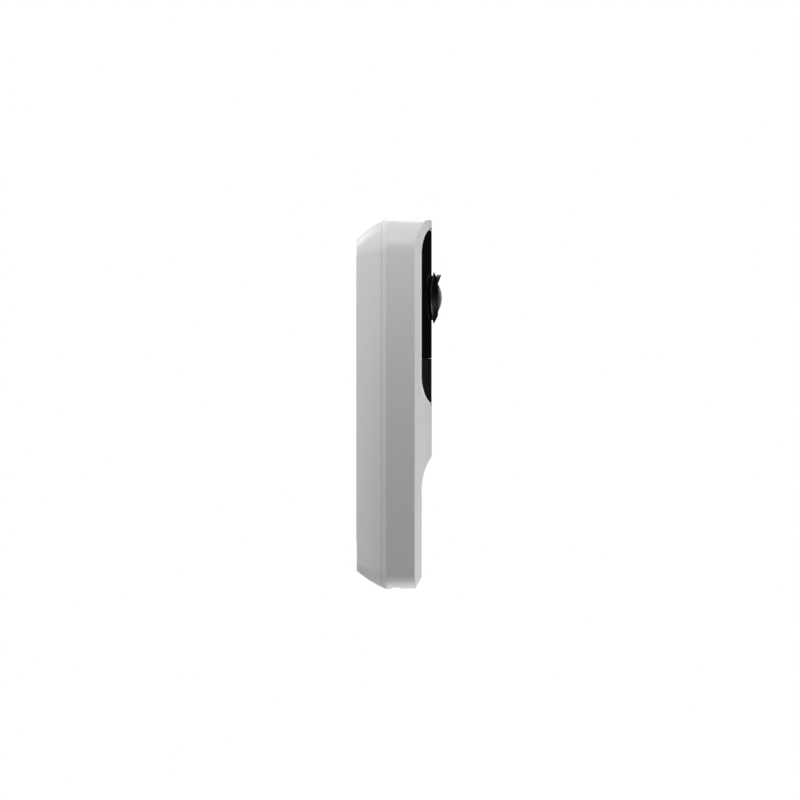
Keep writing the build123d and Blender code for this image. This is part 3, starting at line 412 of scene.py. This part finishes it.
def make_hood():
    """Crescent visor over the top of the lens: upright outer wall, sloping underside, rounded lip."""
    steps = 72
    half = math.radians(64)
    rings, count = [], 0
    for i in range(steps + 1):
        u = -1 + 2 * i / steps
        a = math.pi / 2 + u * half
        w = max(math.cos(u * math.pi / 2), 0.004) ** 0.75
        r_root, r_out = 8.72, 8.72 + 0.66 * w ** 0.6
        x_dir, z_dir = math.cos(a), math.sin(a)
        base_out = cone(r_root)(r_root * x_dir)
        tip = base_out + 0.02 + (34.32 - base_out) * w
        r_in = r_root - (r_root - 7.25) * w ** 0.8
        base_in = cone(r_in)(r_in * x_dir) if r_in > 7.3 else 33.05
        lip = 0.16 * w + 0.02
        r_tip_in = r_out - 0.10 - 0.22 * w
        brow = min(base_out + 0.30 * w, tip - 0.01)
        prof = [
            (r_root, base_out - 0.5), (r_root, base_out), (r_out - 0.08 * w, brow),
            (r_out, min(brow + 0.10 * w, tip - 0.005)), (r_out - 0.01 * w, max(tip - lip * 1.6, brow)),
            (r_out - 0.03 * w, max(tip - lip * 0.7, brow)), (r_out - 0.08 * w, max(tip - lip * 0.15, brow)),
            (r_out - 0.17 * w, tip), (r_tip_in + 0.02 * w, tip - lip * 0.10), (r_tip_in - 0.06 * w, tip - lip * 0.55),
            (r_tip_in - (r_tip_in - r_in) * 0.35, tip - (tip - base_in) * 0.40 - 0.10 * w),
            (r_tip_in - (r_tip_in - r_in) * 0.70, tip - (tip - base_in) * 0.74 - 0.08 * w),
            (r_in - 0.01, base_in - 0.02), (r_in - 0.03, base_in - 0.5),
        ]
        count = len(prof)
        rings.append([(r * x_dir * MM, -d * MM, (LENS_Z + r * z_dir) * MM) for r, d in prof])
    verts = [v for ring in rings for v in ring]
    faces = grid_faces(len(rings), count, wrap_cols=True)
    faces.append(tuple(range(count)))
    o = (len(rings) - 1) * count
    faces.append(tuple(reversed(range(o, o + count))))
    return new_object("bezel_hood", verts, faces)


hood = make_hood()
mod = bezel.modifiers.new("hood", "BOOLEAN")
mod.operation = "UNION"
mod.solver = "EXACT"
mod.object = hood
dg = bpy.context.evaluated_depsgraph_get()
fused = bpy.data.meshes.new_from_object(bezel.evaluated_get(dg))
old = bezel.data
bezel.modifiers.clear()
bezel.data = fused
bpy.data.objects.remove(hood)
bezel.name = "camera_bezel_detailed"
weld(bezel, 0.000002)
shade_auto(bezel, 34)
finish_piece(bezel, "bezel_black", "unit", "camera_bezel")
bezel.data.materials.append(MATERIALS["bezel_neck_painted_shade"])
bezel.data.materials.append(MATERIALS["bezel_edge_painted_highlight"])
for p in bezel.data.polygons:
    c = p.center / MM
    r = math.hypot(c.x, c.z - LENS_Z)
    d = -c.y
    # neck faces between the rim and the front ring: painted shade
    if 8.9 < r < 9.5 and d < surface_depth(c.x) + 0.75:
        p.material_index = 1
    # faces on the rim's outer edge: painted highlight
    elif r > 10.19 and d > surface_depth(c.x) + 0.66:
        p.material_index = 2

# ------------------------------------------------------------------ lens dome and barrel
dome_r, dome_tip = 10.7, 34.67


def dome_profile():
    pts = []
    n = 28
    for i in range(n + 1):
        r = 5.58 * i / n
        pts.append((max(r, 0.001), dome_tip - dome_r + math.sqrt(dome_r ** 2 - r ** 2)))
    pts.append((5.60, 32.9))
    pts.append((5.56, 32.62))
    ri = dome_r - 1.1
    for i in range(n + 1):
        r = 5.45 * (1 - i / n)
        pts.append((max(r, 0.001), dome_tip - dome_r + math.sqrt(ri ** 2 - r ** 2)))
    return pts


dome = lathe_front("lens_dome_clear", dome_profile(), LENS_Z, segments=160)
weld(dome, 0.000004)
shade_auto(dome, 30)
finish_piece(dome, "clear_dome", "unit", "lens_dome")

barrel_profile = [(3.2, 22.4), (3.2, 26.7), (4.96, 27.02), (4.96, 29.0)]
d, r = 29.0, 4.96
for i in range(6):
    barrel_profile += [(r + 0.02, d + 0.02), (r + 0.02, d + 0.30), (r + 0.11, d + 0.32)]
    d += 0.40
    r += 0.11
barrel_profile += [(5.66, 31.74), (5.74, 31.80), (5.90, 31.80), (5.98, 31.72), (6.0, 31.6), (6.0, 22.5), (5.9, 22.4)]
barrel = lathe_front("lens_barrel_ribbed", barrel_profile, LENS_Z, segments=160)
shade_auto(barrel, 30)
finish_piece(barrel, "black_metal", "unit", "lens_barrel")


# ------------------------------------------------------------------ button and light ring
def button_profile():
    face, rim = 26.2, 10.6
    pts = []
    sag = 0.34
    n = 20
    for i in range(n + 1):
        r = max(9.6 * i / n, 0.001)
        pts.append((r, face - sag * (1 - (r / 9.6) ** 2) - 0.02))
    pts += [(9.85, face - 0.005), (10.10, face), (10.30, face - 0.02), (10.46, face - 0.10), (10.56, face - 0.22),
            (10.60, face - 0.42), (10.60, 23.95), (10.66, 23.85), (11.40, 23.80), (11.50, 23.70), (11.50, 22.90),
            (11.40, 22.80), (2.25, 22.80), (2.0, 22.65), (2.0, 21.62), (1.88, 21.50), (0.001, 21.50)]
    return pts


cap = lathe_front("button_cap_dished", button_profile(), BUTTON_Z, segments=192)
weld(cap, 0.000004)
shade_auto(cap, 32)
finish_piece(cap, "white_button", "button", "button_cap")

ring_profile = [(11.0, 24.15), (11.0, 26.16), (11.04, 26.30), (11.14, 26.40), (11.30, 26.45), (11.9, 26.47), (12.5, 26.45),
                (12.66, 26.40), (12.76, 26.30), (12.80, 26.16), (12.80, 24.15)]
ring = lathe_front("light_ring_diffuser", ring_profile, BUTTON_Z, segments=192)
shade_auto(ring, 40)
finish_piece(ring, "ring_diffuser", "unit", "light_ring")


# ------------------------------------------------------------------ screws
def screw_mesh(name, head_r, head_h, shank_r, length, pitch, drive, drive_r, drive_depth, head="pan", tip=0.5):
    """Screw along +Z with the head's seat at z = 0 and the head below it, in mm. drive: 6 = hex, 'cross', 'slot'."""
    seg = 72
    verts, faces = [], []
    prof = []
    if head == "pan":
        for i in range(8):
            t = i / 7
            a = t * math.pi / 2
            prof.append((head_r - 0.28 * head_h * (1 - math.sin(a)) - 0.0, -head_h + 0.28 * head_h * (1 - math.cos(a))))
        prof[0] = (head_r - 0.28 * head_h, -head_h)
    prof += [(head_r, -0.08), (head_r - 0.08, 0.0), (shank_r + 0.12, 0.0), (shank_r, 0.12)]
    core = shank_r - 0.16 * pitch ** 0.5
    rows = []
    for r, z in prof:
        rows.append([(r * math.cos(TAU * j / seg), r * math.sin(TAU * j / seg), z) for j in range(seg)])
    z0, z1 = 1.2, length - tip
    per = 8
    n = int((z1 - z0) / pitch * per)
    for i in range(n + 1):
        z = z0 + (z1 - z0) * i / n
        row = []
        for j in range(seg):
            ph = (z / pitch - j / seg) % 1.0
            h = 1 - abs(2 * ph - 1)
            h = min(max((h - 0.12) / 0.76, 0.0), 1.0)
            ease = min(1.0, (z - z0) / pitch + 0.0, (z1 - z) / pitch + 0.15)
            ease = max(ease, 0.0)
            r = (shank_r if i == 0 else shank_r) - (shank_r - core) * (1 - h) * ease
            row.append((r * math.cos(TAU * j / seg), r * math.sin(TAU * j / seg), z))
        rows.append(row)
    rows.append([(core * math.cos(TAU * j / seg), core * math.sin(TAU * j / seg), z1 + 0.1) for j in range(seg)])
    rows.append([((core - tip * 0.7) * math.cos(TAU * j / seg), (core - tip * 0.7) * math.sin(TAU * j / seg), length)
                 for j in range(seg)])
    for row in rows:
        verts += row
    faces += grid_faces(len(rows), seg)
    verts.append((0, 0, length))
    k = len(verts) - 1
    o = (len(rows) - 1) * seg
    faces += [(k, o + j, o + (j + 1) % seg) for j in range(seg)]
    # drive recess in the underside of the head
    if drive == "slot":
        shape = []
        for sx, sy in ((-1, -1), (1, -1), (1, 1), (-1, 1)):
            shape.append((sx * drive_r, sy * drive_r * 0.14))
    elif drive == "cross":
        w = drive_r * 0.20
        shape = [(w, w), (drive_r, w), (drive_r, -w), (w, -w), (w, -drive_r), (-w, -drive_r), (-w, -w), (-drive_r, -w),
                 (-drive_r, w), (-w, w), (-w, drive_r), (w, drive_r)]
    else:
        shape = []
        for j in range(36):
            a = TAU * j / 36
            rr = drive_r * (1 + 0.13 * math.cos(6 * a)) / 1.13
            shape.append((rr * math.cos(a), rr * math.sin(a)))
    # order by angle, match to the outer ring by a triangulated cap
    m = len(shape)
    top = [(x, y, -head_h) for x, y in shape]
    low = [(x * 0.94, y * 0.94, -head_h + drive_depth) for x, y in shape]
    base = len(verts)
    verts += top + low
    faces += [(base + j, base + (j + 1) % m, base + m + (j + 1) % m, base + m + j) for j in range(m)]
    faces.append(tuple(base + m + j for j in range(m)))
    me = bpy.data.meshes.new(name)
    me.from_pydata([tuple(c * MM for c in v) for v in verts], [], faces)
    bm = bmesh.new()
    bm.from_mesh(me)
    bm.verts.ensure_lookup_table()
    bm.edges.ensure_lookup_table()
    loop_edges = []
    for j in range(seg):
        e = bm.edges.get((bm.verts[j], bm.verts[(j + 1) % seg]))
        loop_edges.append(e)
    for j in range(m):
        e = bm.edges.get((bm.verts[base + j], bm.verts[base + (j + 1) % m]))
        loop_edges.append(e)
    bmesh.ops.triangle_fill(bm, use_beauty=True, use_dissolve=False, edges=loop_edges)
    bmesh.ops.recalc_face_normals(bm, faces=bm.faces)
    bm.to_mesh(me)
    bm.free()
    return me


def place(me, spots, name, matrix_rows):
    """Copies of a mesh at several spots, turned by a fixed axis map, as one object."""
    bm = bmesh.new()
    for s in spots:
        before = len(bm.verts)
        bm.from_mesh(me)
        bm.verts.ensure_lookup_table()
        for v in bm.verts[before:]:
            c = v.co.copy()
            v.co = Vector((sum(matrix_rows[0][k] * c[k] for k in range(3)), sum(matrix_rows[1][k] * c[k] for k in range(3)),
                           sum(matrix_rows[2][k] * c[k] for k in range(3)))) + Vector(s) * MM
    bmesh.ops.recalc_face_normals(bm, faces=bm.faces)
    out = bpy.data.meshes.new(name)
    bm.to_mesh(out)
    bm.free()
    obj = bpy.data.objects.new(name, out)
    bpy.context.scene.collection.objects.link(obj)
    shade_auto(obj, 38)
    return obj


UP = ((1, 0, 0), (0, 1, 0), (0, 0, 1))            # screw points up
OUT = ((1, 0, 0), (0, 0, -1), (0, 1, 0))          # screw points away from the wall, head towards the wall

sec = place(screw_mesh("sec_src", 2.0, 1.5, 1.18, 15.3, 0.45, 6, 0.95, 1.1), [(0, -3.6, -66.8)], "security_screw_threaded", UP)
finish_piece(sec, "steel", "security_screw", "security_screw")

case = place(screw_mesh("case_src", 1.9, 1.4, 0.98, 8.0, 0.4, "cross", 1.05, 0.8),
             [(-10.5, -6.2, 61.5), (10.5, -6.2, 61.5), (-10.5, -6.2, -62.5), (10.5, -6.2, -62.5)],
             "housing_screws_threaded", OUT)
finish_piece(case, "steel_dark", "unit", "housing_screws")

term = place(screw_mesh("term_src", 2.9, 1.6, 1.43, 1.9, 0.5, "slot", 2.75, 0.7, tip=0.1),
             [(-4.5, -6.4, -18.0), (4.5, -6.4, -18.0)], "terminal_screws_slotted", OUT)
finish_piece(term, "steel", "unit", "terminal_screws")

# ------------------------------------------------------------------ polished bevel round the black window, in a lighter white than the shell as a painted highlight
def arc_points(cx, cz, r, a0, a1, n):
    return [(cx + r * math.cos(a0 + (a1 - a0) * i / n), cz + r * math.sin(a0 + (a1 - a0) * i / n)) for i in range(n + 1)]


def window_path(grow):
    """Outline of the black window grown outwards, as evenly indexed points, in mm."""
    hw, top, low = 18.1 + grow, 70.3 + grow, 0.3 - grow
    r_top, r_foot, crown = 9.5 + grow, 10.0 + grow, 45.0 + grow
    cx = hw - r_foot
    cz = low + crown - math.sqrt((crown - r_foot) ** 2 - cx ** 2)
    ux, uz = cx / (crown - r_foot), (cz - (low + crown)) / (crown - r_foot)
    a = math.atan2(uz, ux)
    half = arc_points(0, low + crown, crown, -math.pi / 2, a, 22)[:-1]
    half += arc_points(cx, cz, r_foot, a, 0.0, 22)[:-1]
    half += [(hw, cz + (top - r_top - cz) * i / 60) for i in range(60)]
    half += arc_points(hw - r_top, top - r_top, r_top, 0.0, math.pi / 2, 22)[:-1]
    half += [((hw - r_top) * (1 - i / 16), top) for i in range(17)]
    left = [(-x, z) for x, z in reversed(half[1:-1])]
    return half + left


trim_section = [(0.12, -0.42), (0.16, -0.20), (0.20, -0.04), (0.26, 0.05), (0.34, 0.10), (0.44, 0.125), (0.70, 0.120), (0.96, 0.110),
                (1.04, 0.09), (1.10, 0.04), (1.13, -0.03), (1.14, -0.12)]
verts = []
for grow, rise in trim_section:
    for x, z in window_path(grow):
        verts.append((x * MM, -(surface_depth(x) + rise) * MM, z * MM))
count = len(window_path(0.5))
trim = new_object("window_trim_bead", verts, grid_faces(len(trim_section), count, wrap_rows=True))
shade_auto(trim, 60)
finish_piece(trim, "trim_white_painted_highlight", "unit", slot="white_shell")

# ------------------------------------------------------------------ softened CAD edges
for name in ("wall_bracket", "usb_plug", "terminal_block", "inner_chassis", "lens_holder", "battery_connector"):
    o = nodes[name]
    bev = o.modifiers.new("edge", "BEVEL")
    bev.width = 0.00018
    bev.segments = 2
    bev.limit_method = "ANGLE"
    bev.angle_limit = math.radians(50)
    bev.harden_normals = False

# ------------------------------------------------------------------ stage, world and lights
floor_mesh = bpy.data.meshes.new("floor")
bm = bmesh.new()
bmesh.ops.create_circle(bm, cap_ends=True, segments=96, radius=0.55)
bm.to_mesh(floor_mesh)
bm.free()
floor = bpy.data.objects.new("floor", floor_mesh)
floor.location = (0, 0, -0.40)
bpy.context.scene.collection.objects.link(floor)
fm, fnt, fb = principled("floor_paint")
mottled(fnt, fb, (0.86, 0.86, 0.86), 0.004, 3.0, 0.6, 0.03, 20.0)
floor_mesh.materials.append(fm)

world = bpy.data.worlds.new("studio")
bpy.context.scene.world = world
world.use_nodes = True
wn = world.node_tree
for n in list(wn.nodes):
    wn.nodes.remove(n)
out = wn.nodes.new("ShaderNodeOutputWorld")
mix = wn.nodes.new("ShaderNodeMixShader")
lp = wn.nodes.new("ShaderNodeLightPath")
seen = wn.nodes.new("ShaderNodeBackground")
seen.inputs["Color"].default_value = (1, 1, 1, 1)
seen.inputs["Strength"].default_value = 1.0
lit = wn.nodes.new("ShaderNodeBackground")
lit.inputs["Color"].default_value = (0.97, 0.985, 1.0, 1)
lit.inputs["Strength"].default_value = 0.005
wn.links.new(lp.outputs["Is Camera Ray"], mix.inputs["Fac"])
wn.links.new(lit.outputs["Background"], mix.inputs[1])
wn.links.new(seen.outputs["Background"], mix.inputs[2])
wn.links.new(mix.outputs["Shader"], out.inputs["Surface"])


def softbox(name, where, target, size, power, size_y=None):
    ld = bpy.data.lights.new(name, "AREA")
    ld.shape = "RECTANGLE"
    ld.size = size
    ld.size_y = size_y or size
    ld.energy = power
    o = bpy.data.objects.new(name, ld)
    o.location = where
    o.rotation_mode = "QUATERNION"
    o.rotation_quaternion = (Vector(target) - Vector(where)).to_track_quat("-Z", "Y")
    o.visible_camera = False
    bpy.context.scene.collection.objects.link(o)
    return o


for side in (-1, 1):
    softbox(f"overhead_{side}", (side * 0.13, -0.015, 0.16), (0, -0.015, 0.02), 0.08, 0.067)
    softbox(f"overhead_front_{side}", (side * 0.12, -0.15, 0.25), (0, -0.015, 0.0), 0.15, 0.155)
    softbox(f"rear_high_{side}", (side * 0.45, 0.45, 0.35), (0, -0.015, 0.03), 0.30, 1.60)
    softbox(f"rear_centre_{side}", (side * 0.25, 0.95, 0.15), (0, -0.015, 0.0), 0.50, 1.38)
softbox("overhead_centre", (0.0, -0.015, 0.30), (0, -0.015, 0.0), 0.20, 0.060)
softbox("front_low", (0.0, -0.90, -0.30), (0, -0.015, 0.0), 0.40, 3.60)
softbox("floor_bounce_near", (0.0, -0.20, -0.37), (0, -0.015, -0.05), 0.20, 1.00)
